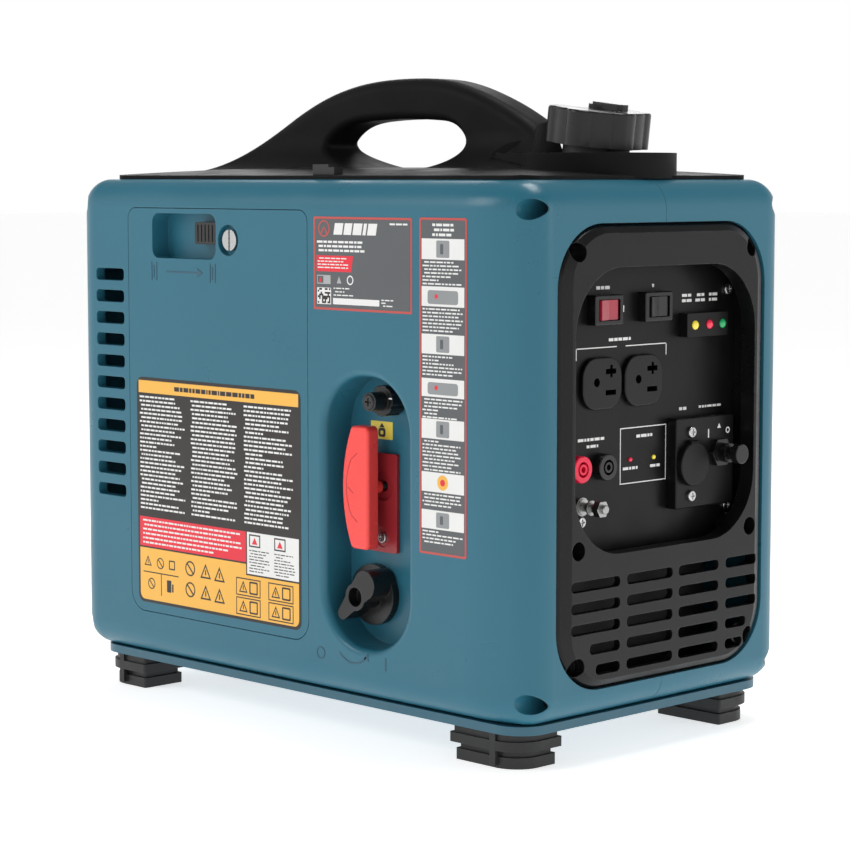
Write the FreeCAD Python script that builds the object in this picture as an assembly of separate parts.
import FreeCAD
import Part
import math
import os
from FreeCAD import Vector

# Portable inverter generator, in millimetres.
# Frame: +X points at the control panel end, -Y at the recoil starter and maintenance door side,
# +Z up. The origin is on the floor under the middle of the machine.

# ---------------------------------------------------------------- driving dimensions
BODY_LENGTH = 467.0
BODY_WIDTH = 275.0
FOOT_HEIGHT = 24.0
PAN_HEIGHT = 6.0
BODY_TOP = 383.0
HANDLE_TOP = 455.4
WALL = 3.0
EDGE_RADIUS = 20.0

X_END = BODY_LENGTH / 2
Y_SIDE = BODY_WIDTH / 2
BODY_BOTTOM = FOOT_HEIGHT + PAN_HEIGHT
X_OVERALL = X_END + 10.0

# Plan corners: a slow arc and then a tight one at the panel end, one plain arc at the other end.
SLOW_RADIUS = 106.0
SLOW_ANGLE = 20.0
CORNER_RADIUS = 24.0

# Clearances
GAP = 0.5
SLIDE_GAP = 0.3
RUNNING = 0.05

# Maintenance door
DOOR_X = (-167.0, 30.0)
DOOR_Z = (64.0, 362.0)
DOOR_THICKNESS = 2.6
DOOR_TOP_RADIUS = 8.0
DOOR_BOTTOM_RADIUS = 15.0
CUP_X = (-139.0, -67.0)
CUP_Z = (326.0, 358.5)
CUP_DEPTH = 15.0
LOCK_AT = (-53.5, 340.2)

# Recoil pocket on the -Y face
POCKET_X = (46.0, 128.0)
POCKET_Z = (66.0, 251.0)
POCKET_DEPTH = 26.0
POCKET_RADIUS = 38.0
POCKET_LIP = 5.0
POCKET_FLOOR = -Y_SIDE + POCKET_DEPTH
ROPE_X = 80.5
ROPE_Z = 175.0
ROPE_RADIUS = 2.0
CHOKE_AT = (90.0, 234.5)
VALVE_AT = (72.8, 99.8)

# Engine and starter share the crank axis
REEL_PITCH_RADIUS = 49.0
CRANK_Z = ROPE_Z - REEL_PITCH_RADIUS
SHAFT_RADIUS = 10.0
BORE_X = -72.0

# Control panel
BEZEL_Y = 105.6
BEZEL_Z = (50.0, 354.5)
BEZEL_RADIUS = 42.0
BEZEL_FRONT = X_END + 3.2
OPENING_Y = 92.0
OPENING_Z = (138.3, 326.3)
OPENING_RADIUS = 45.0
SKIRT_BACK = 225.0
PLATE_Y = 97.5
PLATE_Z = (132.5, 331.5)
PLATE_RADIUS = 26.0
PLATE_FRONT = 213.5
PLATE_THICKNESS = 2.5
PLATE_BACK = PLATE_FRONT - PLATE_THICKNESS
BEZEL_HOLES = [(side * 88.2, z) for z in (336.7, 143.6, 67.0) for side in (-1, 1)]
PLATE_HOLES = [(89.2, 307.3), (89.8, 156.3), (-61.4, 157.8), (-89.2, 307.3)]
SWITCH_SIZE = (28.0, 20.0)
ENGINE_SWITCH_AT = (-42.1, 297.6)
ECO_SWITCH_AT = (8.4, 298.2)
INDICATOR_Y = (37.6, 81.0)
INDICATOR_Z = (276.0, 292.3)
STATUS_LAMPS = [(45.7, 284.2), (61.0, 284.2), (75.0, 284.2)]
ALARM_LAMPS = [(-11.8, 195.8), (12.3, 195.8)]
RECEPTACLES = {"receptacle_left": (-43.6, 248.9), "receptacle_right": (-1.6, 248.9)}
SOCKETS = {"parallel_socket_red": (-68.1, 194.0), "parallel_socket_black": (-41.5, 193.4)}
SOCKET_FRONT = {"parallel_socket_red": 222.5, "parallel_socket_black": 221.0}
JACK_BORE = 2.05
STUD_AT = (-65.0, 169.0)
STUD_TIP = 240.0
DC_BLOCK_Y = (26.3, 88.0)
DC_BLOCK_Z = (159.0, 221.0)
DC_BLOCK_FRONT = 222.0
DC_AT = (41.6, 189.3)
DC_SCREWS = [(DC_AT[0], DC_AT[1] + side * 21.9) for side in (1, -1)]
BREAKER_AT = (71.3, 195.4)

# Filler
CAP_CENTRE = (164.0, 10.0)
CAP_TILT = 7.0
COLLAR_RADIUS = 53.5
COLLAR_TOP = 401.0
COLLAR_TAIL = (72.0, 28.0)
CAP_ROOM = 8.4
NECK_PIVOT = 420.0
CAP_BOTTOM = 406.4
CAP_HEIGHT = 24.6
CAP_RADIUS = 35.2
CAP_LOBES = 6
LOBE_OFFSET = 23.0
NECK_RADIUS = 23.0

# Intake slots and corner screws of the covers
VENT_X = (-206.5, -173.0)
VENT_TOP = 312.6
VENT_PITCH = 16.14
VENT_COUNT = 11
VENT_HEIGHT = 9.0
COVER_SCREWS = [(226.0, 364.5), (226.0, 46.5), (-225.0, 364.5), (-225.0, 46.5)]
SCREW_RECESS = 6.7
RECESS_FLOOR = 102.0

# Rear cover
REAR_Y = 88.0
REAR_Z = (70.0, 335.0)
REAR_RADIUS = 26.0
PIPE_AT = (48.0, 226.0)

# Top cover and handle
TOP_X = 214.0
TOP_Y = 118.0
TOP_EDGE = 385.5
CROWN = 6.0
GRIP_HALF = 16.5
FOOT_HALF = 40.0
FLARE_RADIUS = 29.6
FLARE_Z = 418.0

# Door latch
LATCH_X = (-98.0, -68.6)
LATCH_Z = (336.6, 352.4)
LATCH_TRAVEL = 15.0
LATCH_STEM = (-88.0, -80.0)

# Starter
GUIDE_SCREW_Z = 139.6
GRIP_FRONT = -Y_SIDE + 4.0
GRIP_BACK = GRIP_FRONT + 9.5
GRIP_Z = (133.0, 217.0)
GRIP_EDGE_X = 86.0
GRIP_BULGE_X = 60.0
REEL_X = (ROPE_X - 8, ROPE_X + 8)
POST_RADIUS = 8.0

# Switch rockers
ROCKER_TILT = 8.0

AXES = {"X": Vector(1, 0, 0), "Y": Vector(0, 1, 0), "Z": Vector(0, 0, 1)}


# ---------------------------------------------------------------- helpers
def block(x, y, z):
    """Box between the given pairs of limits."""
    return Part.makeBox(x[1] - x[0], y[1] - y[0], z[1] - z[0], Vector(x[0], y[0], z[0]))


def along(edge, axis):
    """True for a straight edge that runs along the named axis."""
    if not isinstance(edge.Curve, Part.Line):
        return False
    return abs(edge.Curve.Direction.dot(AXES[axis])) > 0.999


def soft_block(x, y, z, axis, radius):
    """Box whose four edges along one axis are rounded."""
    solid = block(x, y, z)
    return solid.makeFillet(radius, [e for e in solid.Edges if along(e, axis)])


def tall_block(x, y, z, axis, top_radius, bottom_radius):
    """Box with one radius on its two upper edges along an axis and another on the lower ones."""
    solid = block(x, y, z)
    middle = (z[0] + z[1]) / 2
    upper = [e for e in solid.Edges if along(e, axis) and e.CenterOfMass.z > middle]
    solid = solid.makeFillet(top_radius, upper)
    low = [e for e in solid.Edges if along(e, axis) and e.CenterOfMass.z < z[0] + 0.01]
    return solid.makeFillet(bottom_radius, low)


def rod(axis, start, radius, length):
    """Cylinder from a start point along +axis, or backwards for a negative length."""
    way = AXES[axis] if length > 0 else AXES[axis] * -1
    return Part.makeCylinder(radius, abs(length), Vector(*start), way)


def tube(axis, start, outer, inner, length):
    """Round tube from a start point along an axis."""
    return rod(axis, start, outer, length).cut(rod(axis, start, inner, length))


def fused(shapes):
    """One clean solid out of overlapping ones."""
    return shapes[0].fuse(shapes[1:]).removeSplitter()


def hexagon(axis, start, across_flats, length):
    """Hexagonal prism from a start point along +axis."""
    radius = across_flats / math.sqrt(3)
    side, up = {"X": ("Y", "Z"), "Y": ("X", "Z"), "Z": ("X", "Y")}[axis]
    corners = []
    for k in range(7):
        turn = math.radians(60 * k)
        corners.append(Vector(*start) + AXES[side] * (radius * math.cos(turn))
                       + AXES[up] * (radius * math.sin(turn)))
    return Part.Face(Part.makePolygon(corners)).extrude(AXES[axis] * length)


def flat_shape(points, way):
    """Prism over a polygon, extruded by a vector."""
    return Part.Face(Part.makePolygon(points + points[:1])).extrude(way)


def edges_at_height(shape, z):
    """Edges that lie in the horizontal plane at z."""
    return [e for e in shape.Edges if all(abs(v.Z - z) < 1e-4 for v in e.Vertexes)]


def mirrored(shape):
    """The same shape on the other side of the middle plane."""
    return shape.mirror(Vector(0, 0, 0), AXES["Y"])


def arc(centre, radius, start, end):
    """Horizontal arc edge between two angles in degrees."""
    points = [Vector(centre[0] + radius * math.cos(math.radians(a)),
                     centre[1] + radius * math.sin(math.radians(a)), 0)
              for a in (start, (start + end) / 2, end)]
    return Part.Arc(*points).toShape()


# ---------------------------------------------------------------- housing
def corner_arcs(inset):
    """The two arcs of the -Y corner at the panel end, and their reach along X and Y."""
    slow = SLOW_RADIUS - inset
    tight = CORNER_RADIUS - inset
    turn = math.radians(SLOW_ANGLE)
    reach_x = slow * math.sin(turn) + tight * (1 - math.sin(turn))
    slow_centre = (X_END - inset - reach_x, -Y_SIDE + inset + slow)
    step = SLOW_RADIUS - CORNER_RADIUS
    tight_centre = (slow_centre[0] + step * math.sin(turn), slow_centre[1] - step * math.cos(turn))
    first = arc(slow_centre, slow, -90, SLOW_ANGLE - 90)
    second = arc(tight_centre, tight, SLOW_ANGLE - 90, 0)
    return [first, second]


def plan_outline(inset):
    """Closed plan outline of the housing, moved inwards by inset."""
    front = corner_arcs(inset)
    rear = arc((-X_END + CORNER_RADIUS, -Y_SIDE + CORNER_RADIUS), CORNER_RADIUS - inset, 180, 270)
    near = [rear] + front
    far = [edge.mirror(Vector(0, 0, 0), AXES["Y"]) for edge in near]
    curves = near + far
    ends = [(edge.valueAt(edge.FirstParameter), edge.valueAt(edge.LastParameter)) for edge in near]
    flip = [(Vector(a.x, -a.y, 0), Vector(b.x, -b.y, 0)) for a, b in ends]
    lines = [Part.makeLine(ends[0][1], ends[1][0]), Part.makeLine(ends[2][1], flip[2][1]),
             Part.makeLine(flip[1][0], flip[0][1]), Part.makeLine(flip[0][0], ends[0][0])]
    return Part.Wire(Part.__sortEdges__(curves + lines))


def body_block(inset):
    """Rounded housing block, moved inwards by inset."""
    low = BODY_BOTTOM + inset
    high = BODY_TOP - inset
    solid = Part.Face(plan_outline(inset)).extrude(Vector(0, 0, high - low))
    solid.translate(Vector(0, 0, low))
    return solid.makeFillet(EDGE_RADIUS - inset, edges_at_height(solid, low) + edges_at_height(solid, high))


def vent_slots():
    """Cutting shapes for the column of intake slots on the -Y side."""
    slots = []
    for k in range(VENT_COUNT):
        z = VENT_TOP - k * VENT_PITCH
        heights = (z - VENT_HEIGHT / 2, z + VENT_HEIGHT / 2)
        slots.append(soft_block(VENT_X, (-Y_SIDE - 2, -Y_SIDE + 14), heights, "Y", 3.0))
    return slots


def door_prism(y, grow):
    """Prism over the door outline, grown on all sides."""
    return tall_block((DOOR_X[0] - grow, DOOR_X[1] + grow), y, (DOOR_Z[0] - grow, DOOR_Z[1] + grow),
                      "Y", DOOR_TOP_RADIUS + grow, DOOR_BOTTOM_RADIUS + grow)


def pocket_prism(y, grow):
    """Prism over the recoil pocket outline, grown on all sides."""
    return soft_block((POCKET_X[0] - grow, POCKET_X[1] + grow), y,
                      (POCKET_Z[0] - grow, POCKET_Z[1] + grow), "Y", POCKET_RADIUS + grow)


def half_shell():
    """The -Y half of the housing with the openings that both halves have."""
    shell = body_block(0).cut(body_block(WALL))
    shell = shell.common(block((-X_END - 5, X_END + 5), (-Y_SIDE - 5, -0.15), (0, BODY_TOP + 5)))
    bosses = []
    recesses = []
    for x, z in COVER_SCREWS:
        bosses.append(rod("Y", (x, -Y_SIDE, z), SCREW_RECESS + 2.5, Y_SIDE - RECESS_FLOOR + 2.5))
        recesses.append(rod("Y", (x, -Y_SIDE - 5, z), SCREW_RECESS, Y_SIDE - RECESS_FLOOR + 5))
        recesses.append(rod("Y", (x, -Y_SIDE, z), 2.3, Y_SIDE - 80))
    boss = fused(bosses).common(body_block(0))
    vent_frame = block((VENT_X[0] - 4, VENT_X[1] + 4), (-Y_SIDE + WALL - 0.5, -Y_SIDE + WALL + 5),
                       (VENT_TOP - (VENT_COUNT - 1) * VENT_PITCH - 9, VENT_TOP + 9))
    shell = fused([shell, boss, vent_frame])
    cuts = recesses + vent_slots()
    cuts.append(soft_block((-196, 196), (-100, 100), (BODY_TOP - 10, BODY_TOP + 5), "Z", 20))
    cuts.append(soft_block((-205, 205), (-108, 108), (BODY_BOTTOM - 5, BODY_BOTTOM + 10), "Z", 20))
    cuts.append(soft_block((X_END - 10, X_END + 5), (-BEZEL_Y - GAP, BEZEL_Y + GAP),
                           (BEZEL_Z[0] - GAP, BEZEL_Z[1] + GAP), "X", BEZEL_RADIUS + GAP))
    cuts.append(soft_block((-X_END - 5, -X_END + 10), (-REAR_Y - GAP, REAR_Y + GAP),
                           (REAR_Z[0] - GAP, REAR_Z[1] + GAP), "X", REAR_RADIUS + GAP))
    return shell.cut(cuts)


def left_cover():
    """-Y half: door opening with its ledge, and the recoil pocket."""
    shell = half_shell()
    inside = -Y_SIDE + WALL
    ledge = door_prism((inside, inside + 2.5), 5.0).cut(door_prism((inside - 1, inside + 4), -5.0))
    joggle = door_prism((inside - 0.5, inside + 2.5), 5.0)
    joggle = joggle.cut(door_prism((inside - 1, inside + 4), GAP + 0.2))
    cup_room = block((CUP_X[0] - 3, CUP_X[1] + 3), (inside - 1, inside + 4), (CUP_Z[0], CUP_Z[1] + 2.8))
    shell = shell.cut(door_prism((-Y_SIDE - 1, inside), GAP))
    shell = shell.fuse([ledge, joggle]).cut(cup_room)
    tub = pocket_prism((-Y_SIDE + 1, POCKET_FLOOR + WALL), WALL)
    shell = fused([shell, tub]).cut(pocket_prism((-Y_SIDE - 1, POCKET_FLOOR), 0))
    rim = [e for e in shell.Edges
           if all(abs(v.Y + Y_SIDE) < 1e-4 for v in e.Vertexes)
           and POCKET_X[0] - 1 < e.CenterOfMass.x < POCKET_X[1] + 1
           and POCKET_Z[0] - 1 < e.CenterOfMass.z < POCKET_Z[1] + 1]
    shell = shell.makeFillet(POCKET_LIP, rim)
    holes = [rod("Y", (CHOKE_AT[0], POCKET_FLOOR - 1, CHOKE_AT[1]), 4.3, 8),
             rod("Y", (VALVE_AT[0], POCKET_FLOOR - 1, VALVE_AT[1]), 4.3, 8),
             rod("Y", (ROPE_X, POCKET_FLOOR - 1, ROPE_Z), 6.3, 8),
             rod("Y", (ROPE_X, POCKET_FLOOR - 1, GUIDE_SCREW_Z), 2.2, 8)]
    return shell.cut(holes)


def right_cover():
    """+Y half: the mirror of the plain half."""
    return mirrored(half_shell())


def base_pan():
    """Shallow tray that carries the engine, with the feet under it."""
    floor = soft_block((-223, 223), (-127, 127), (FOOT_HEIGHT, BODY_BOTTOM), "Z", 22)
    rim = soft_block((-204, 204), (-107, 107), (BODY_BOTTOM - 1, BODY_BOTTOM + 9), "Z", 19)
    rim = rim.cut(soft_block((-201, 201), (-104, 104), (BODY_BOTTOM - 2, BODY_BOTTOM + 10), "Z", 16))
    mounts = [rod("Z", (x, y, BODY_BOTTOM - 1), 11, 12) for x in (-100, -42) for y in (-38, 38)]
    cooling = [soft_block((x, x + 6), (-70, 70), (FOOT_HEIGHT - 1, BODY_BOTTOM + 1), "Z", 2.9)
               for x in range(-170, -120, 14)]
    return fused([floor, rim] + mounts).cut(cooling)


def foot(x_inner, x_outer, y_inner, y_outer):
    """Ribbed rubber foot: wide tiers with grooves between them, rounded at its outer corner."""
    tiers = [(0.0, 7.5, 4.5), (7.0, 12.5, 6.5), (12.0, 18.5, 1.5), (18.0, FOOT_HEIGHT, 3.5)]
    solids = []
    for low, high, inset in tiers:
        slab = block((x_inner + inset, x_outer - inset), (y_inner + inset, y_outer - inset), (low, high))
        outer = [e for e in slab.Edges if along(e, "Z") and e.CenterOfMass.x > x_inner + 10
                 and e.CenterOfMass.y > y_inner + 10]
        others = [e for e in slab.Edges if along(e, "Z") and not (
            e.CenterOfMass.x > x_inner + 10 and e.CenterOfMass.y > y_inner + 10)]
        slab = slab.makeFillet(24 - inset, outer)
        keep = [e for e in slab.Edges if along(e, "Z") and any(
            e.CenterOfMass.distanceToPoint(o.CenterOfMass) < 1 for o in others)]
        solids.append(slab.makeFillet(2.0, keep))
    rib_x = x_outer - 22
    solids.append(block((rib_x - 5, rib_x), (y_outer - 7, y_outer - 1.5), (2, FOOT_HEIGHT)))
    return fused(solids)


def feet():
    """Four feet; the front pair is larger than the rear pair."""
    front = foot(153, 219, 80, 126)
    rear = foot(167, 221, 82, 127).mirror(Vector(0, 0, 0), AXES["X"])
    return {"foot_front_right": front, "foot_front_left": mirrored(front),
            "foot_rear_right": rear, "foot_rear_left": mirrored(rear)}


# ---------------------------------------------------------------- top cover and handle


def arched_block(half_span, half_width, edge, peak, bottom, axis):
    """Block with an arched top that falls from its peak to both ends of the named axis."""
    side = "Y" if axis == "X" else "X"
    start = AXES[axis] * -half_span + AXES["Z"] * edge - AXES[side] * half_width
    end = AXES[axis] * half_span + AXES["Z"] * edge - AXES[side] * half_width
    middle = AXES["Z"] * peak - AXES[side] * half_width
    drop = AXES["Z"] * (edge - bottom)
    outline = [Part.Arc(start, middle, end).toShape(), Part.makeLine(end, end - drop),
               Part.makeLine(end - drop, start - drop), Part.makeLine(start - drop, start)]
    return Part.Face(Part.Wire(outline)).extrude(AXES[side] * (2 * half_width))


def crown_block():
    """Block under a crowned surface that falls off towards all four sides."""
    low = BODY_TOP - 20
    across = arched_block(TOP_Y + 2, TOP_X + 5, TOP_EDGE, TOP_EDGE + CROWN, low, "Y")
    lengthwise = arched_block(TOP_X + 2, TOP_Y + 5, TOP_EDGE, TOP_EDGE + CROWN + 3, low, "X")
    return across.common(lengthwise)


def on_neck(shape):
    """Move a shape built upright on the Z axis onto the tilted filler axis."""
    moved = shape.copy()
    moved.rotate(Vector(0, 0, NECK_PIVOT), AXES["Y"], CAP_TILT)
    moved.translate(Vector(CAP_CENTRE[0], CAP_CENTRE[1], 0))
    return moved


def collar_outline(radius, low, high):
    """Tear drop prism: a round collar with a tail that points at the handle."""
    cx, cy = CAP_CENTRE
    tail = (cx - COLLAR_TAIL[0], cy - COLLAR_TAIL[1])
    round_part = rod("Z", (cx, cy, low), radius, high - low)
    reach = Vector(cx - tail[0], cy - tail[1], 0)
    side = Vector(-reach.y, reach.x, 0).normalize()
    tip = Vector(tail[0], tail[1], low)
    centre = Vector(cx, cy, low)
    points = [tip + side * 6, tip - side * 6, centre - side * (radius - 1), centre + side * (radius - 1)]
    return fused([round_part, flat_shape(points, Vector(0, 0, high - low))])


def collar_fin():
    """Low arched fin on the tail of the collar, between the handle and the cap."""
    reach = Vector(COLLAR_TAIL[0], COLLAR_TAIL[1], 0)
    way = Vector(reach.x, reach.y, 0).normalize()
    side = Vector(-way.y, way.x, 0)
    tip = Vector(CAP_CENTRE[0], CAP_CENTRE[1], COLLAR_TOP - 1) - reach
    end = tip + way * (reach.Length - COLLAR_RADIUS + 6)
    middle = tip + (end - tip) * 0.55 + AXES["Z"] * 8.5
    crest = end + AXES["Z"] * 9.0
    outline = [Part.Arc(tip, middle, crest).toShape(), Part.makeLine(crest, end), Part.makeLine(end, tip)]
    fin = Part.Face(Part.Wire(outline)).extrude(side * 12)
    fin.translate(side * -9)
    return fin


def top_cover():
    """Black top cover: crowned plate, locating skirt and the collar round the fuel cap."""
    plate = soft_block((-TOP_X, TOP_X), (-TOP_Y, TOP_Y), (BODY_TOP, BODY_TOP + 30), "Z", 18)
    plate = plate.common(crown_block())
    skirt = soft_block((-195, 195), (-99, 99), (BODY_TOP - 7, BODY_TOP + 0.5), "Z", 19)
    skirt = skirt.cut(soft_block((-192, 192), (-96, 96), (BODY_TOP - 8, BODY_TOP - 1), "Z", 16))
    collar = collar_outline(COLLAR_RADIUS, BODY_TOP + 0.5, COLLAR_TOP)
    well = rod("Z", (CAP_CENTRE[0], CAP_CENTRE[1], BODY_TOP + 3), COLLAR_RADIUS - 7, 40)
    neck_hole = on_neck(rod("Z", (0, 0, 360), NECK_RADIUS + 2, 60))
    return fused([plate, skirt, collar, collar_fin()]).cut([well, neck_hole])


def curve(points, closed):
    """Smooth edge through points given as (x, z) in the middle plane."""
    spline = Part.BSplineCurve()
    spline.interpolate([Vector(x, 0, z) for x, z in points], PeriodicFlag=closed)
    return spline.toShape()


def handle_section():
    """Cross section of the handle along its whole length: straight sides that flare at the foot."""
    turn = math.radians(40)
    centre = Vector(-220, GRIP_HALF + FLARE_RADIUS, FLARE_Z)
    start = Vector(-220, GRIP_HALF, FLARE_Z)
    middle = centre - Vector(0, FLARE_RADIUS * math.cos(turn), FLARE_RADIUS * math.sin(turn))
    end = Vector(-220, FOOT_HALF, FLARE_Z - math.sqrt(FLARE_RADIUS ** 2 - (centre.y - FOOT_HALF) ** 2))
    corners = [end, Vector(-220, FOOT_HALF, 380), Vector(-220, 0, 380), Vector(-220, 0, 470),
               Vector(-220, GRIP_HALF, 470), start]
    lines = [Part.makeLine(p, q) for p, q in zip(corners, corners[1:])]
    outline = Part.Wire([Part.Arc(start, middle, end).toShape()] + lines)
    half = Part.Face(outline).extrude(Vector(420, 0, 0))
    return fused([half, mirrored(half)])


def carry_handle():
    """Arched handle with a finger opening; its two legs stand on the top cover."""
    outer = [(-205, 388), (-188, 395), (-161, 409), (-132, 424.5), (-86, 444), (-45, 453),
             (0, HANDLE_TOP), (42, 452.5), (76, 443), (118, 424), (150, 402), (165, 388)]
    arch = curve(outer, False)
    chord = Part.makeLine(arch.Vertexes[-1].Point, arch.Vertexes[0].Point)
    side = Part.Face(Part.Wire([arch, chord]))
    side.translate(Vector(0, -60, 0))
    solid = side.extrude(Vector(0, 120, 0)).common(handle_section())
    crest = [e for e in solid.Edges if e.BoundBox.ZMax > 440 and e.BoundBox.XLength > 60]
    solid = solid.makeFillet(9.0, crest)
    hole = [(-81, 410), (-66, 420), (-35, 425.5), (0, 426.3), (30, 425), (54, 418), (61, 406),
            (47, 394), (18, 389), (-35, 389), (-64, 396)]
    gap = Part.Face(Part.Wire([curve(hole, True)]))
    gap.translate(Vector(0, -60, 0))
    solid = solid.cut(gap.extrude(Vector(0, 120, 0)))
    palm = [e for e in solid.Edges if 417 < e.BoundBox.ZMin and e.BoundBox.ZMax < 428
            and 60 < e.BoundBox.XLength]
    solid = solid.makeFillet(6.0, palm)
    clear = rod("Z", (CAP_CENTRE[0], CAP_CENTRE[1], COLLAR_TOP - 20), CAP_RADIUS + CAP_ROOM, 80)
    fin = collar_fin()
    solid = solid.cut([clear, collar_outline(COLLAR_RADIUS, BODY_TOP - 1, COLLAR_TOP), fin, crown_block()])
    return max(solid.Solids, key=lambda piece: piece.Volume)


def handle_clip():
    """Small clip on the near edge of the top cover."""
    base = block((9, 31), (-113, -105), (BODY_TOP + 2.9, BODY_TOP + 8.5))
    step = block((9, 25), (-113, -105), (BODY_TOP + 8, BODY_TOP + 10.5))
    return fused([base, step]).cut(crown_block())


# ---------------------------------------------------------------- left side pieces


def maintenance_door():
    """Lift-off door with a finger cup and the recess of its lock screw."""
    front = -Y_SIDE
    panel = door_prism((front, front + DOOR_THICKNESS), 0)
    cup = soft_block((CUP_X[0] - 2, CUP_X[1] + 2), (front + 0.5, front + CUP_DEPTH + 2),
                     (CUP_Z[0] - 2, CUP_Z[1] + 2), "Y", 9)
    lock = rod("Y", (LOCK_AT[0], front + 0.5, LOCK_AT[1]), 13, 7)
    hollow = soft_block(CUP_X, (front - 1, front + CUP_DEPTH), CUP_Z, "Y", 7)
    slit = block((LATCH_STEM[0] - LATCH_TRAVEL - SLIDE_GAP, LATCH_STEM[1] + SLIDE_GAP),
                 (front + CUP_DEPTH - 1, front + CUP_DEPTH + 3), (340.6, 348.4))
    sink = rod("Y", (LOCK_AT[0], front - 1, LOCK_AT[1]), 11, 6)
    bore = rod("Y", (LOCK_AT[0], front - 1, LOCK_AT[1]), 4.3, 12)
    return fused([panel, cup, lock]).cut([hollow, slit, sink, bore])


def door_latch():
    """Ribbed slider in the finger cup; its stem passes through the cup to a keeper plate."""
    front = -Y_SIDE
    back = front + CUP_DEPTH
    body = soft_block(LATCH_X, (front + 6.5, back - SLIDE_GAP), LATCH_Z, "Y", 2)
    grooves = [block((x, x + 1.2), (front + 6, front + 7.3), (338.5, 350.5)) for x in range(-95, -71, 4)]
    stem = block(LATCH_STEM, (back - 1, back + 3), (341, 348))
    keeper = block((LATCH_STEM[0] - 4, LATCH_STEM[1] + 4), (back + 2 + SLIDE_GAP, back + 4), (338, 351))
    return fused([body, stem, keeper]).cut(grooves)


def door_lock_screw():
    """Slotted quarter turn screw in the door."""
    x, z = LOCK_AT
    head = rod("Y", (x, -Y_SIDE + 1.0, z), 7.5, 3.6)
    stem = rod("Y", (x, -Y_SIDE + 4.0, z), 4.0, 16)
    wing = block((x - 7, x + 7), (-Y_SIDE + 16, -Y_SIDE + 19), (z - 2, z + 2))
    slot = block((x - 0.9, x + 0.9), (-Y_SIDE, -Y_SIDE + 2.6), (z - 8, z + 8))
    return fused([head, stem, wing]).cut(slot)


def rope_guide():
    """Red plate on the pocket floor with the eyelet that the starter rope runs through."""
    plate = soft_block((68.3, 94.2), (POCKET_FLOOR - 3, POCKET_FLOOR), (129.7, 197.5), "Y", 1.5)
    tail = rod("Y", (ROPE_X, POCKET_FLOOR - 1, ROPE_Z), 6.0, 10)
    cuts = [rod("Y", (ROPE_X, POCKET_FLOOR - 4, ROPE_Z), 10.0, 2.4),
            rod("Y", (ROPE_X, POCKET_FLOOR - 4, ROPE_Z), 3.6, 20),
            rod("Y", (ROPE_X, POCKET_FLOOR - 4, GUIDE_SCREW_Z), 6.5, 1.8),
            rod("Y", (ROPE_X, POCKET_FLOOR - 4, GUIDE_SCREW_Z), 2.2, 8)]
    return fused([plate, tail]).cut(cuts)


def starter_grip():
    """D shaped pull grip with a bowed outer side and a stem for the rope."""
    low = Vector(GRIP_EDGE_X, GRIP_FRONT, GRIP_Z[0])
    high = Vector(GRIP_EDGE_X, GRIP_FRONT, GRIP_Z[1])
    low_in = Vector(GRIP_EDGE_X - 17, GRIP_FRONT, GRIP_Z[0])
    high_in = Vector(GRIP_EDGE_X - 17, GRIP_FRONT, GRIP_Z[1])
    bow = Part.Arc(low_in, Vector(GRIP_BULGE_X, GRIP_FRONT, sum(GRIP_Z) / 2), high_in).toShape()
    outline = Part.Wire([bow, Part.makeLine(high_in, high), Part.makeLine(high, low),
                         Part.makeLine(low, low_in)])
    solid = Part.Face(outline).extrude(Vector(0, GRIP_BACK - GRIP_FRONT, 0))
    solid = solid.makeFillet(4.0, [e for e in solid.Edges if along(e, "Y")])
    rims = [e for e in solid.Edges if all(abs(v.Y - GRIP_FRONT) < 1e-4 for v in e.Vertexes)]
    solid = solid.makeFillet(2.2, rims)
    stem = Part.makeCone(5.4, 4.2, 6.5, Vector(ROPE_X, GRIP_BACK - 0.5, ROPE_Z), AXES["Y"])
    hole = rod("Y", (ROPE_X, GRIP_BACK - 6, ROPE_Z), ROPE_RADIUS, 12)
    return fused([solid, stem]).cut(hole)


def starter_rope():
    """Straight run of the starter rope from the grip to the reel."""
    return rod("Y", (ROPE_X, GRIP_BACK - 6, ROPE_Z), ROPE_RADIUS, abs(GRIP_BACK - 6) - 24)


def choke_knob():
    """Round choke knob with a raised boss."""
    x, z = CHOKE_AT
    base = POCKET_FLOOR - SLIDE_GAP
    body = rod("Y", (x, base, z), 10.6, -(base + Y_SIDE - 13))
    boss = rod("Y", (x, base, z), 6.4, -(base + Y_SIDE - 1.4))
    stem = rod("Y", (x, base - 1, z), 4.0, 14)
    grooves = [rod("Y", (x + 11.4 * math.cos(a), base + 1, z + 11.4 * math.sin(a)), 1.6, -20)
               for a in (math.radians(20 + 40 * k) for k in range(9))]
    screw = [rod("Y", (x, -Y_SIDE + 0.4, z), 5.0, 2.8), rod("Y", (x, -Y_SIDE + 2.0, z), 1.8, 10)]
    return fused([body, boss, stem]).cut(grooves + screw)


def cross_slot(axis, start, size, depth):
    """Cutting shape of a cross recess that opens towards the negative or positive axis."""
    side, up = {"X": ("Y", "Z"), "Y": ("X", "Z")}[axis]
    cuts = []
    for a, b in ((side, up), (up, side)):
        corner = Vector(*start) - AXES[a] * size - AXES[b] * 0.55
        spans = {a: 2 * size, b: 1.1, axis: depth}
        cuts.append(Part.makeBox(spans["X"], spans["Y"], spans["Z"], corner))
    return cuts


def choke_knob_screw():
    """Cross head screw that holds the choke knob."""
    x, z = CHOKE_AT
    head = rod("Y", (x, -Y_SIDE + 0.5, z), 5.0, 2.7)
    head = head.makeFillet(1.2, [head.Edges[k] for k in range(len(head.Edges))
                                 if all(abs(v.Y + Y_SIDE - 0.5) < 1e-4 for v in head.Edges[k].Vertexes)])
    shank = rod("Y", (x, -Y_SIDE + 3.0, z), 1.8, 9)
    return fused([head, shank]).cut(cross_slot("Y", (x, -Y_SIDE + 0.2, z), 2.8, 1.8))


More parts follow.
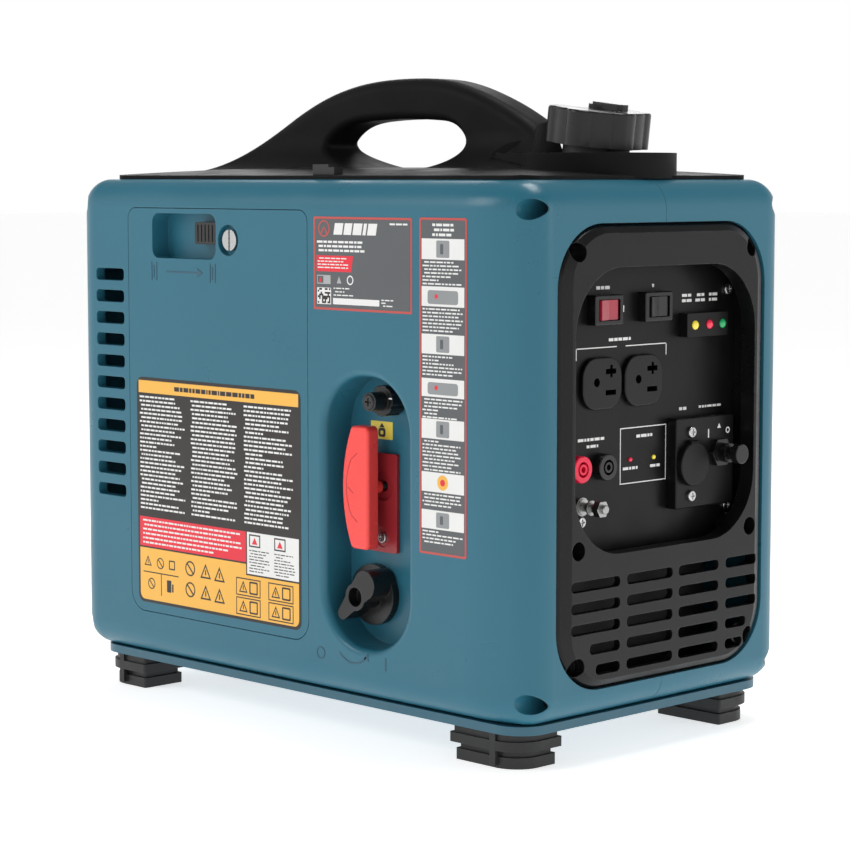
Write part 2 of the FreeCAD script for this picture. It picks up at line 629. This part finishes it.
def fuel_valve_knob():
    """Fuel valve knob: a disc with a pointer rib, hollow at its middle."""
    x, z = VALVE_AT
    base = POCKET_FLOOR - SLIDE_GAP
    front = -Y_SIDE + 4.0
    disc = rod("Y", (x, base, z), 21.0, -(base + Y_SIDE - 20))
    stem = rod("Y", (x, base - 1, z), 4.0, 14)
    tail = Vector(x + 9, front, z + 9)
    tip = Vector(x - 12.5, front, z - 12.5)
    side = Vector(1, 0, -1).normalize()
    rib = flat_shape([tail + side * 10, tip + side * 4.5, tip - side * 4.5, tail - side * 10],
                     Vector(0, base - front - 1, 0))
    rounds = [rod("Y", tuple(tail), 10.0, base - front - 1), rod("Y", tuple(tip), 4.5, base - front - 1),
              rod("Y", (x, front, z), 9.4, base - front - 1)]
    hollow = rod("Y", (x, front - 1, z), 6.6, 9)
    return fused([disc, stem, rib] + rounds).cut(hollow)


# ---------------------------------------------------------------- control panel
def bezel_outline(x, inset_y, inset_z, radius):
    """Rounded rectangular wire of the bezel at a plane of constant x."""
    solid = soft_block((x, x + 1), (-BEZEL_Y + inset_y, BEZEL_Y - inset_y),
                       (BEZEL_Z[0] + inset_z, BEZEL_Z[1] - inset_z), "X", radius)
    faces = [f for f in solid.Faces if abs(f.CenterOfMass.x - x) < 1e-6]
    return faces[0].OuterWire


def grille_slots():
    """Cutting shapes of the five rows of cooling slots."""
    columns = [(-95.0, -47.0), (-40.5, 6.5), (12.5, 55.0), (62.5, 97.0)]
    slots = []
    for row in range(5):
        top = 123.6 - 14.15 * row
        for k, (left, right) in enumerate(columns):
            if row == 3 and k == 0:
                left = -77.0
            if row == 4 and k == 0:
                left = -71.0
            if row == 3 and k == 3:
                right = 85.0
            if row == 4 and k == 3:
                right = 81.5
            slots.append(soft_block((215, 245), (left, right), (top - 7.0, top), "X", 3.2))
    return slots


def control_bezel():
    """Black bezel: raised cushion front, deep recess for the control plate, cooling grille."""
    flange = soft_block((226.5, 229.5), (-109, 109), (46.5, 358), "X", 45)
    land = soft_block((229, 230.2), (-BEZEL_Y, BEZEL_Y), BEZEL_Z, "X", BEZEL_RADIUS)
    cushion = Part.makeLoft([bezel_outline(230.0, 0, 0, BEZEL_RADIUS),
                             bezel_outline(233.6, 3.5, 2, BEZEL_RADIUS - 2.6),
                             bezel_outline(BEZEL_FRONT, 11.1, 6, BEZEL_RADIUS - 8)], True, True)
    backing = soft_block((PLATE_BACK - 2.5, 229), (-PLATE_Y - WALL, PLATE_Y + WALL),
                         (PLATE_Z[0] - WALL, PLATE_Z[1] + WALL), "X", PLATE_RADIUS + WALL)
    chamber = soft_block((PLATE_BACK, SKIRT_BACK), (-PLATE_Y, PLATE_Y), PLATE_Z, "X", PLATE_RADIUS)
    recess = soft_block((SKIRT_BACK - 1, 245), (-OPENING_Y, OPENING_Y), OPENING_Z, "X", OPENING_RADIUS)
    window = soft_block((200, PLATE_BACK + 1), (-PLATE_Y + 13, PLATE_Y - 13),
                        (PLATE_Z[0] + 12, PLATE_Z[1] - 12), "X", 14)
    columns = fused([rod("X", (PLATE_FRONT, y, z), 8.2, 228 - PLATE_FRONT) for y, z in BEZEL_HOLES])
    hollow = soft_block((220, 231.5), (-BEZEL_Y + 5, BEZEL_Y - 5), (BEZEL_Z[0] + 5, 127), "X", 34)
    solid = fused([flange, land, cushion, backing]).cut([chamber, hollow])
    solid = fused([solid, columns]).cut([recess, window])
    cuts = [slot.cut(columns) for slot in grille_slots()]
    for y, z in BEZEL_HOLES:
        cuts.append(rod("X", (219.0, y, z), 6.2, 30))
        cuts.append(rod("X", (200, y, z), 2.3, 22))
    cuts += [rod("X", (200, y, z), 1.9, 12) for y, z in PLATE_HOLES]
    return solid.cut(cuts)


def rocker_profile(tilt, at):
    """Rocker with a shallow V front, turned about its pivot."""
    pivot = Vector(218.0, at[0], at[1])
    front = [(2.4, 0), (3.6, 9.7), (-1.5, 9.7), (-6, 5), (-6, -5), (-1.5, -9.7), (3.6, -9.7)]
    points = [Vector(x, y, -6.6) for x, y in front]
    rocker = flat_shape(points, Vector(0, 0, 13.2))
    rocker = rocker.makeFillet(0.6, [e for e in rocker.Edges if along(e, "Z")
                                     and e.CenterOfMass.x > 3 and abs(e.CenterOfMass.y) > 5])
    rocker.rotate(Vector(0, 0, 0), AXES["Z"], tilt)
    rocker.translate(pivot)
    return rocker


def switch_frame(at):
    """Frame of a rocker switch, snapped into the control plate."""
    y, z = at
    half_y, half_z = SWITCH_SIZE[0] / 2, SWITCH_SIZE[1] / 2
    lip = soft_block((PLATE_FRONT, 221.4), (y - half_y, y + half_y), (z - half_z, z + half_z), "X", 1.5)
    top = [e for e in lip.Edges if all(abs(v.X - 221.4) < 1e-4 for v in e.Vertexes)]
    lip = lip.makeFillet(1.0, top)
    body = block((194, PLATE_FRONT + 0.5), (y - 12, y + 12), (z - 8.2, z + 8.2))
    cavity = soft_block((208.5, 225), (y - 10.7, y + 10.7), (z - 7.1, z + 7.1), "X", 0.8)
    return fused([lip, body]).cut(cavity)


def indicator_block():
    """Housing of the three status lamps."""
    lip = soft_block((PLATE_FRONT, 221.4), INDICATOR_Y, INDICATOR_Z, "X", 1.0)
    body = block((200, PLATE_FRONT + 0.5), (INDICATOR_Y[0] + 2, INDICATOR_Y[1] - 2),
                 (INDICATOR_Z[0] + 2, INDICATOR_Z[1] - 2))
    wells = [rod("X", (212, y, z), 3.1, 20) for y, z in STATUS_LAMPS]
    return fused([lip, body]).cut(wells)


def lamp_lenses():
    """Five domed lamp lenses: three status lamps and two alarm lamps."""
    lenses = []
    for y, z in STATUS_LAMPS:
        dome = Part.makeSphere(3.6, Vector(220.2, y, z)).common(rod("X", (212, y, z), 3.1, 20))
        lenses.append(fused([rod("X", (212, y, z), 3.1, 8.5), dome]))
    for y, z in ALARM_LAMPS:
        dome = Part.makeSphere(1.7, Vector(PLATE_FRONT, y, z)).common(rod("X", (206, y, z), 1.5, 20))
        lenses.append(fused([rod("X", (206, y, z), 1.5, PLATE_FRONT - 206 + 0.2), dome]))
    return Part.makeCompound(lenses)


def receptacle(at):
    """Three pin AC receptacle lying on its side: earth hole left, blades above and below."""
    y, z = at
    face = soft_block((PLATE_FRONT, 217.0), (y - 19.4, y + 19.4), (z - 17.4, z + 17.4), "X", 13.5)
    face = face.makeFillet(1.2, [e for e in face.Edges if all(abs(v.X - 217.0) < 1e-4 for v in e.Vertexes)])
    body = soft_block((184, PLATE_FRONT + 0.5), (y - 18, y + 18), (z - 15, z + 15), "X", 10)
    cuts = [rod("X", (195, y - 5.8, z + 1.0), 2.9, 30)]
    for side in (-1, 1):
        blade = z + 0.8 + side * 7.0
        cuts.append(block((195, 220), (y + 3.0, y + 13.4), (blade - 1.7, blade + 1.7)))
    cuts.append(block((195, 220), (y + 7.4, y + 9.8), (z + 3.8, z + 12.0)))
    return fused([face, body]).cut(cuts)


def parallel_socket(name):
    """Shrouded 4 mm safety socket."""
    y, z = SOCKETS[name]
    front = SOCKET_FRONT[name]
    shroud = rod("X", (PLATE_FRONT, y, z), 9.0, front - PLATE_FRONT)
    shroud = shroud.makeFillet(1.2, [e for e in shroud.Edges
                                     if all(abs(v.X - front) < 1e-4 for v in e.Vertexes)])
    body = rod("X", (188, y, z), 6.5, PLATE_FRONT - 188 + 0.5)
    gap = tube("X", (198, y, z), 5.2, 3.6, 40)
    bore = rod("X", (196, y, z), JACK_BORE, 40)
    return fused([shroud, body]).cut([gap, bore])


def ground_stud():
    """Threaded earth stud."""
    y, z = STUD_AT
    stud = rod("X", (198, y, z), 3.0, STUD_TIP - 198)
    return stud.makeChamfer(0.6, [e for e in stud.Edges if all(abs(v.X - STUD_TIP) < 1e-4
                                                              for v in e.Vertexes)])


def ground_nuts():
    """Nuts and washers on the earth stud."""
    y, z = STUD_AT
    layers = [("hex", 10.0, PLATE_FRONT, 4.5), ("washer", 6.2, 218.0, 1.2), ("washer", 5.4, 219.2, 1.0),
              ("washer", 5.0, 226.0, 1.2), ("hex", 10.0, 232.0, 5.0), ("hex", 10.0, 205.0, 5.0)]
    solids = []
    for kind, size, x, length in layers:
        if kind == "hex":
            outer = hexagon("X", (x, y, z), size, length)
        else:
            outer = rod("X", (x, y, z), size, length)
        solids.append(outer.cut(rod("X", (x - 1, y, z), 3.0, length + 2)))
    return Part.makeCompound(solids)


def dc_block():
    """Raised block that carries the 12 V outlet and its breaker."""
    solid = soft_block((PLATE_FRONT, DC_BLOCK_FRONT), DC_BLOCK_Y, DC_BLOCK_Z, "X", 1.5)
    front = [e for e in solid.Edges if all(abs(v.X - DC_BLOCK_FRONT) < 1e-4 for v in e.Vertexes)]
    solid = solid.makeFillet(1.0, front)
    cuts = [rod("X", (200, DC_AT[0], DC_AT[1]), 13.0, 40),
            rod("X", (200, BREAKER_AT[0], BREAKER_AT[1]), 5.6, 40)]
    cuts += [rod("X", (200, y, z), 1.9, 40) for y, z in DC_SCREWS]
    return solid.cut(cuts)


def dc_socket():
    """12 V accessory socket sleeve."""
    y, z = DC_AT
    sleeve = rod("X", (178, y, z), 12.9, DC_BLOCK_FRONT - 178)
    return sleeve.cut(rod("X", (181, y, z), 10.6, 60))


def dc_cover():
    """Round dust cover over the 12 V socket, hinged along its upper edge."""
    y, z = DC_AT
    disc = rod("X", (DC_BLOCK_FRONT + SLIDE_GAP, y, z), 15.0, 4.4)
    front = DC_BLOCK_FRONT + SLIDE_GAP + 4.4
    disc = disc.makeFillet(1.0, [e for e in disc.Edges if all(abs(v.X - front) < 1e-4 for v in e.Vertexes)])
    knuckle = rod("Y", (DC_BLOCK_FRONT + 2.3, y - 4, z + 14.6), 1.9, 8)
    return fused([disc, knuckle])


def dc_breaker_body():
    """Hexagon nut and barrel of the push button breaker."""
    y, z = BREAKER_AT
    shapes = [hexagon("X", (DC_BLOCK_FRONT, y, z), 18.0, 4.0), rod("X", (DC_BLOCK_FRONT, y, z), 6.6, 11.0),
              rod("X", (190, y, z), 5.5, 35), block((176, 204), (y - 8, y + 8), (z - 14, z + 14))]
    return fused(shapes).cut(rod("X", (212, y, z), 4.3, 40))


def dc_breaker_button():
    """Push button of the breaker."""
    y, z = BREAKER_AT
    stem = rod("X", (218, y, z), 4.0, 22)
    head = rod("X", (238, y, z), 6.8, X_OVERALL - 238)
    rim = [e for e in head.Edges if all(abs(v.X - X_OVERALL) < 1e-4 for v in e.Vertexes)]
    return fused([stem, head.makeFillet(0.7, rim)])


def control_plate():
    """Flat plate behind the recess, cut out for everything that is mounted on it."""
    plate = soft_block((PLATE_BACK, PLATE_FRONT), (-PLATE_Y + 0.3, PLATE_Y - 0.3),
                       (PLATE_Z[0] + 0.3, PLATE_Z[1] - 0.3), "X", PLATE_RADIUS - 0.3)
    cuts = []
    for y, z in (ENGINE_SWITCH_AT, ECO_SWITCH_AT):
        cuts.append(block((200, 220), (y - 12, y + 12), (z - 8.2, z + 8.2)))
    cuts.append(block((200, 220), (INDICATOR_Y[0] + 2, INDICATOR_Y[1] - 2),
                      (INDICATOR_Z[0] + 2, INDICATOR_Z[1] - 2)))
    for y, z in RECEPTACLES.values():
        cuts.append(soft_block((200, 220), (y - 18, y + 18), (z - 15, z + 15), "X", 10))
    for y, z in SOCKETS.values():
        cuts.append(rod("X", (200, y, z), 6.5, 20))
    for at, radius in ((STUD_AT, 3.0), (DC_AT, 12.9), (BREAKER_AT, 5.5)):
        cuts.append(rod("X", (200, at[0], at[1]), radius, 20))
    cuts += [rod("X", (200, y, z), 1.5, 20) for y, z in ALARM_LAMPS]
    cuts += [rod("X", (200, y, z), 1.9, 20) for y, z in PLATE_HOLES + DC_SCREWS]
    cuts += [rod("X", (200, y, z), 2.3, 20) for y, z in BEZEL_HOLES]
    return plate.cut(cuts)


# ---------------------------------------------------------------- fasteners
def panel_screw(x_seat, y, z, length):
    """Cross head screw that is driven along -X, with its head seated at x_seat."""
    head = rod("X", (x_seat, y, z), 3.9, 2.4)
    head = head.makeFillet(1.1, [e for e in head.Edges if all(abs(v.X - x_seat - 2.4) < 1e-4
                                                             for v in e.Vertexes)])
    shank = rod("X", (x_seat - length, y, z), 1.85, length + 0.5)
    return fused([head, shank]).cut(cross_slot("X", (x_seat + 1.2, y, z), 2.2, 2.0))


def panel_screws():
    """Cross head screws: four in the control plate, two in the DC block, one in the rope guide."""
    screws = [panel_screw(PLATE_FRONT, y, z, 9) for y, z in PLATE_HOLES]
    screws += [panel_screw(DC_BLOCK_FRONT, y, z, 14) for y, z in DC_SCREWS]
    guide = panel_screw(0, 0, 0, 9)
    guide.rotate(Vector(0, 0, 0), AXES["Z"], -90)
    guide.translate(Vector(ROPE_X, POCKET_FLOOR - 2.2, GUIDE_SCREW_Z))
    return Part.makeCompound(screws + [guide])


def bezel_screws():
    """Six screws deep in the bezel holes."""
    solids = []
    for y, z in BEZEL_HOLES:
        head = rod("X", (219.0, y, z), 4.6, 3.2)
        shank = rod("X", (206.0, y, z), 2.2, 13.5)
        solids.append(fused([head, shank]).cut(cross_slot("X", (220.6, y, z), 2.6, 2.0)))
    return Part.makeCompound(solids)


def cover_screws():
    """Screws in the corner recesses of both covers."""
    solids = []
    for x, z in COVER_SCREWS:
        head = rod("Y", (x, -RECESS_FLOOR - 3.2, z), 4.6, 3.2)
        shank = rod("Y", (x, -RECESS_FLOOR - 0.5, z), 2.2, 16)
        screw = fused([head, shank]).cut(cross_slot("Y", (x, -RECESS_FLOOR - 3.6, z), 2.6, 2.2))
        solids += [screw, mirrored(screw)]
    return Part.makeCompound(solids)


# ---------------------------------------------------------------- rear cover


def rear_cover():
    """Louvred outlet cover at the far end, with the hole for the tail pipe."""
    front = soft_block((-X_END, -X_END + 3.2), (-REAR_Y, REAR_Y), REAR_Z, "X", REAR_RADIUS)
    flange = soft_block((-X_END + 3.2, -X_END + 6), (-REAR_Y - 3.5, REAR_Y + 3.5),
                        (REAR_Z[0] - 3.5, REAR_Z[1] + 3.5), "X", REAR_RADIUS + 3.5)
    ring = rod("X", (-X_END - 2.5, PIPE_AT[0], PIPE_AT[1]), 26, 8)
    cuts = [rod("X", (-X_END - 5, PIPE_AT[0], PIPE_AT[1]), 17, 20)]
    for k in range(14):
        z = 92 + 16 * k
        right = 70.0
        if abs(z - PIPE_AT[1]) < 34:
            right = PIPE_AT[0] - 34
        cuts.append(soft_block((-X_END - 2, -X_END + 8), (-70, right), (z - 3.4, z + 3.4), "X", 3.3))
    return fused([front, flange, ring]).cut(cuts)


# ---------------------------------------------------------------- fuel system
def fuel_tank():
    """Moulded tank under the top cover, with the seat of the filler neck."""
    body = soft_block((-55, 188), (-84, 116), (292, 366), "Z", 26)
    body = body.makeFillet(10, [e for e in edges_at_height(body, 292) + edges_at_height(body, 366)])
    inner = soft_block((-52, 185), (-81, 113), (295, 363), "Z", 23)
    inner = inner.makeFillet(7, [e for e in edges_at_height(inner, 295) + edges_at_height(inner, 363)])
    seat = rod("Z", (CAP_CENTRE[0] - 7, CAP_CENTRE[1], 360), 29, 9)
    seat = seat.common(block((-100, 186), (-200, 200), (300, 400)))
    hole = on_neck(rod("Z", (0, 0, 350), NECK_RADIUS - 2.5, 60))
    return fused([body, seat]).cut([inner, hole])


def filler_neck():
    """Tilted neck between the tank and the cap."""
    neck = tube("Z", (0, 0, 372), NECK_RADIUS, NECK_RADIUS - 3, 418 - 372)
    return on_neck(neck).cut(block((0, 250), (-50, 50), (300, 369)))


def cap_gasket():
    """Sealing ring inside the fuel cap; it lifts with the cap but does not turn."""
    return on_neck(tube("Z", (0, 0, 418.0), NECK_RADIUS, NECK_RADIUS - 5, 2.0))


def fuel_cap():
    """Six lobed fuel cap with a skirt that reaches over the neck."""
    lobes = [Part.makeCylinder(CAP_RADIUS - 3.2, CAP_HEIGHT, Vector(0, 0, CAP_BOTTOM))]
    for k in range(CAP_LOBES):
        turn = math.radians(360 / CAP_LOBES * k - 15)
        centre = Vector(LOBE_OFFSET * math.cos(turn), LOBE_OFFSET * math.sin(turn), CAP_BOTTOM)
        lobes.append(Part.makeCylinder(CAP_RADIUS - LOBE_OFFSET, CAP_HEIGHT, centre))
    solid = fused(lobes)
    solid = solid.makeFillet(1.8, edges_at_height(solid, CAP_BOTTOM + CAP_HEIGHT))
    bore = Part.makeCylinder(NECK_RADIUS + 0.5, 420.4 - CAP_BOTTOM + 1, Vector(0, 0, CAP_BOTTOM - 1))
    return on_neck(solid.cut(bore))


def vent_lever():
    """Vent lever that turns on top of the fuel cap."""
    top = CAP_BOTTOM + CAP_HEIGHT + SLIDE_GAP
    hub = Part.makeCylinder(8.0, 3.0, Vector(0, 0, top))
    arm = soft_block((-5, 23), (-5, 5), (top, top + 4.6), "Z", 4)
    return on_neck(fused([hub, arm]))


# ---------------------------------------------------------------- engine
def crankcase():
    """Engine block with the crank chamber, bearing bores and cylinder seat."""
    shell = soft_block((-112, -32), (-54, 54), (66, 172), "X", 16)
    chamber = rod("X", (-96, 0, CRANK_Z), 42, 48)
    bearing = rod("X", (-108, 0, CRANK_Z), SHAFT_RADIUS + RUNNING, 100)
    mouth = rod("Z", (BORE_X, 0, CRANK_Z), 25.5, 60)
    pads = [rod("Z", (x, y, BODY_BOTTOM + 11), 9, 40) for x in (-100, -42) for y in (-38, 38)]
    neck = rod("Y", (BORE_X, -56, 92), 8, 12)
    spigot = tube("X", (-33, 0, CRANK_Z), 20, SHAFT_RADIUS + 2, 43)
    return fused([shell, spigot, neck] + pads).cut([chamber, bearing, mouth])


def cylinder():
    """Finned cylinder with its head."""
    shapes = [rod("Z", (BORE_X, 0, 172), 33, 96)]
    shapes += [soft_block((BORE_X - 40, BORE_X + 40), (-42, 42), (z, z + 2.6), "Z", 12)
               for z in range(180, 264, 8)]
    shapes.append(soft_block((BORE_X - 36, BORE_X + 36), (-36, 36), (172, 177), "Z", 10))
    bore = rod("Z", (BORE_X, 0, 170), 25, 86)
    plug = rod("Z", (BORE_X, 0, 250), 6, 30)
    intake = rod("Y", (BORE_X, -60, 230), 9, 40)
    exhaust = rod("X", (BORE_X - 60, 0, 230), 9, 40)
    ports = [soft_block((BORE_X - 16, BORE_X + 16), (-44, -30), (216, 244), "Y", 5),
             soft_block((BORE_X - 44, BORE_X - 30), (-16, 16), (216, 244), "X", 5)]
    return fused(shapes + ports).cut([bore, plug, intake, exhaust])


def spark_plug():
    """Spark plug with its hexagon, insulator and cap."""
    shapes = [rod("Z", (BORE_X, 0, 252), 5.9, 16), hexagon("Z", (BORE_X, 0, 268), 16, 7),
              rod("Z", (BORE_X, 0, 274), 5, 12), rod("Z", (BORE_X, 0, 282), 8, 20)]
    return fused(shapes)


def carburettor():
    """Carburettor between the intake port and the air cleaner."""
    body = soft_block((BORE_X - 15, BORE_X + 15), (-92, -44), (216, 244), "Y", 6)
    bowl = rod("Z", (BORE_X, -66, 198), 15, 20)
    throat = rod("Y", (BORE_X, -100, 230), 8, 60)
    return fused([body, bowl]).cut(throat)


def air_cleaner():
    """Air cleaner box behind the maintenance door."""
    box = soft_block((-125, -20), (-128, -92), (186, 300), "Y", 10)
    hollow = soft_block((-122, -23), (-125, -95), (189, 297), "Y", 7)
    lid_line = soft_block((-126, -19), (-118, -117), (185, 301), "Y", 11).cut(
        soft_block((-123.8, -21.2), (-119, -116), (187.2, 298.8), "Y", 8.8))
    inlet = rod("Y", (BORE_X, -99, 230), 8, 12)
    return box.cut([hollow, lid_line, inlet])


def muffler():
    """Muffler with its inlet pipe and the tail pipe that ends outside the rear cover."""
    shell = soft_block((-222, -152), (-52, 92), (172, 268), "Y", 20)
    hollow = soft_block((-220, -154), (-50, 90), (174, 266), "Y", 18)
    inlet = rod("X", (BORE_X - 44, 0, 230), 12, -(152 - 44 + BORE_X) - 2)
    tail = rod("X", (-220, PIPE_AT[0], PIPE_AT[1]), 14, 220 - X_OVERALL)
    bores = [rod("X", (BORE_X - 40, 0, 230), 9, -60),
             rod("X", (-215, PIPE_AT[0], PIPE_AT[1]), 11, -40)]
    return fused([shell, inlet, tail]).cut([hollow] + bores)


def crankshaft():
    """Crankshaft with its two webs and crank pin."""
    shaft = rod("X", (-107, 0, CRANK_Z), SHAFT_RADIUS, 165)
    gap = rod("X", (-81, 0, CRANK_Z), 40, 18)
    webs = [rod("X", (x, 0, CRANK_Z), 36, 7) for x in (-88, -63)]
    pin = rod("X", (-82, 0, CRANK_Z + 19), 8, 20)
    return fused([shaft.cut(gap)] + webs + [pin])


def flywheel_fan():
    """Outer rotor of the alternator with the cooling fan blades on its face."""
    cup = tube("X", (-10, 0, CRANK_Z), 62, 52, 34)
    disc = rod("X", (20, 0, CRANK_Z), 62, 5)
    hub = rod("X", (20, 0, CRANK_Z), 18, 30)
    blades = []
    for k in range(12):
        blade = block((24, 48), (24, 60), (-1.2, 1.2))
        blade.rotate(Vector(0, 24, 0), AXES["X"], 25)
        blade.rotate(Vector(0, 0, 0), AXES["X"], 30 * k)
        blade.translate(Vector(0, 0, CRANK_Z))
        blades.append(blade)
    return fused([cup, disc, hub] + blades).cut(rod("X", (0, 0, CRANK_Z), SHAFT_RADIUS, 60))


def stator():
    """Stator of the alternator: a ring with wound poles inside the rotor."""
    ring = tube("X", (-8, 0, CRANK_Z), 34, 20, 24)
    poles = []
    for k in range(12):
        pole = block((-8, 16), (32, 50), (-5, 5))
        pole.rotate(Vector(0, 0, 0), AXES["X"], 30 * k)
        pole.translate(Vector(0, 0, CRANK_Z))
        poles.append(pole)
    return fused([ring] + poles)


# ---------------------------------------------------------------- recoil starter


def recoil_housing():
    """Round housing of the recoil starter with the post that the reel turns on."""
    outer = rod("X", (64, 0, CRANK_Z), 78, 42)
    inner = rod("X", (60, 0, CRANK_Z), 75, 43)
    post = rod("X", (70, 0, CRANK_Z), POST_RADIUS, 34)
    rope_hole = rod("Y", (ROPE_X, -90, ROPE_Z), 5, 60)
    brackets = [block((64, 70), (y, y + 20), (BODY_BOTTOM, 80)) for y in (-70, 50)]
    shell = fused([outer] + brackets).cut(inner)
    return fused([shell, post]).cut(rope_hole)


def recoil_reel():
    """Rope reel with the rope that is wound on it."""
    low, high = REEL_X
    reel = fused([rod("X", (low, 0, CRANK_Z), 54, 2), rod("X", (high - 2, 0, CRANK_Z), 54, 2),
                  rod("X", (low, 0, CRANK_Z), 47, high - low), rod("X", (low, 0, CRANK_Z), 12, 24)])
    bore = rod("X", (low - 1, 0, CRANK_Z), POST_RADIUS + RUNNING, 30)
    turns = [Part.makeTorus(REEL_PITCH_RADIUS, ROPE_RADIUS, Vector(x, 0, CRANK_Z), AXES["X"])
             for x in (ROPE_X - 4.0, ROPE_X, ROPE_X + 4.0)]
    reel = reel.cut([bore] + turns)
    return Part.makeCompound([reel] + turns)


def recoil_spring():
    """Flat spiral return spring, drawn as half circles that grow turn by turn."""
    thickness = 0.8
    step = 2.2
    edges_in, edges_out = [], []
    radius = 14.0
    centre = 0.0
    x = 90.0
    turns = 16
    for k in range(turns):
        way = 1 if k % 2 == 0 else -1
        for offset, store in ((0, edges_in), (thickness, edges_out)):
            r = radius + offset
            points = [Vector(x, centre - way * r, CRANK_Z), Vector(x, centre, CRANK_Z + way * r),
                      Vector(x, centre + way * r, CRANK_Z)]
            store.append(Part.Arc(*points).toShape())
        radius += step
        centre -= way * step
    caps = [Part.makeLine(edges_in[0].valueAt(edges_in[0].FirstParameter),
                          edges_out[0].valueAt(edges_out[0].FirstParameter)),
            Part.makeLine(edges_in[-1].valueAt(edges_in[-1].LastParameter),
                          edges_out[-1].valueAt(edges_out[-1].LastParameter))]
    wire = Part.Wire(Part.__sortEdges__(edges_in + edges_out + caps))
    return Part.Face(wire).extrude(Vector(6, 0, 0))


# ---------------------------------------------------------------- electronics
def inverter_module():
    """Finned inverter module behind the cooling grille."""
    base = block((186, 200), (-84, 84), (BODY_BOTTOM + 10, 122))
    fins = [block((150, 188), (y, y + 2.5), (BODY_BOTTOM + 10, 122)) for y in range(-82, 82, 12)]
    legs = [block((188, 200), (y, y + 20), (BODY_BOTTOM, BODY_BOTTOM + 11)) for y in (-80, 60)]
    return fused([base] + fins + legs)


PARTS = {
    "left_cover": left_cover,
    "right_cover": right_cover,
    "base_pan": base_pan,
    "top_cover": top_cover,
    "carry_handle": carry_handle,
    "handle_clip": handle_clip,
    "maintenance_door": maintenance_door,
    "door_latch": door_latch,
    "door_lock_screw": door_lock_screw,
    "rope_guide": rope_guide,
    "starter_grip": starter_grip,
    "starter_rope": starter_rope,
    "choke_knob": choke_knob,
    "choke_knob_screw": choke_knob_screw,
    "fuel_valve_knob": fuel_valve_knob,
    "control_bezel": control_bezel,
    "control_plate": control_plate,
    "indicator_block": indicator_block,
    "lamp_lenses": lamp_lenses,
    "ground_stud": ground_stud,
    "ground_nuts": ground_nuts,
    "dc_block": dc_block,
    "dc_socket": dc_socket,
    "dc_cover": dc_cover,
    "dc_breaker_body": dc_breaker_body,
    "dc_breaker_button": dc_breaker_button,
    "panel_screws": panel_screws,
    "bezel_screws": bezel_screws,
    "cover_screws": cover_screws,
    "rear_cover": rear_cover,
    "fuel_tank": fuel_tank,
    "filler_neck": filler_neck,
    "cap_gasket": cap_gasket,
    "fuel_cap": fuel_cap,
    "vent_lever": vent_lever,
    "crankcase": crankcase,
    "cylinder": cylinder,
    "spark_plug": spark_plug,
    "carburettor": carburettor,
    "air_cleaner": air_cleaner,
    "muffler": muffler,
    "crankshaft": crankshaft,
    "flywheel_fan": flywheel_fan,
    "stator": stator,
    "recoil_housing": recoil_housing,
    "recoil_reel": recoil_reel,
    "recoil_spring": recoil_spring,
    "inverter_module": inverter_module,
}


def build():
    """Every node of the generator by name."""
    nodes = {name: make() for name, make in PARTS.items()}
    nodes.update(feet())
    for name, at in (("engine_switch", ENGINE_SWITCH_AT), ("eco_switch", ECO_SWITCH_AT)):
        nodes[name + "_frame"] = switch_frame(at)
        nodes[name + "_rocker"] = rocker_profile(ROCKER_TILT, at)
    for name, at in RECEPTACLES.items():
        nodes[name] = receptacle(at)
    for name in SOCKETS:
        nodes[name] = parallel_socket(name)
    return nodes


os.makedirs("parts", exist_ok=True)
for node, shape in build().items():
    if not shape.isValid():
        print("not valid:", node)
    shape.exportStep(os.path.join("parts", node + ".step"))
    print(f"{node}: {len(shape.Solids)} solid(s), {shape.Volume / 1000:.2f} cm3")
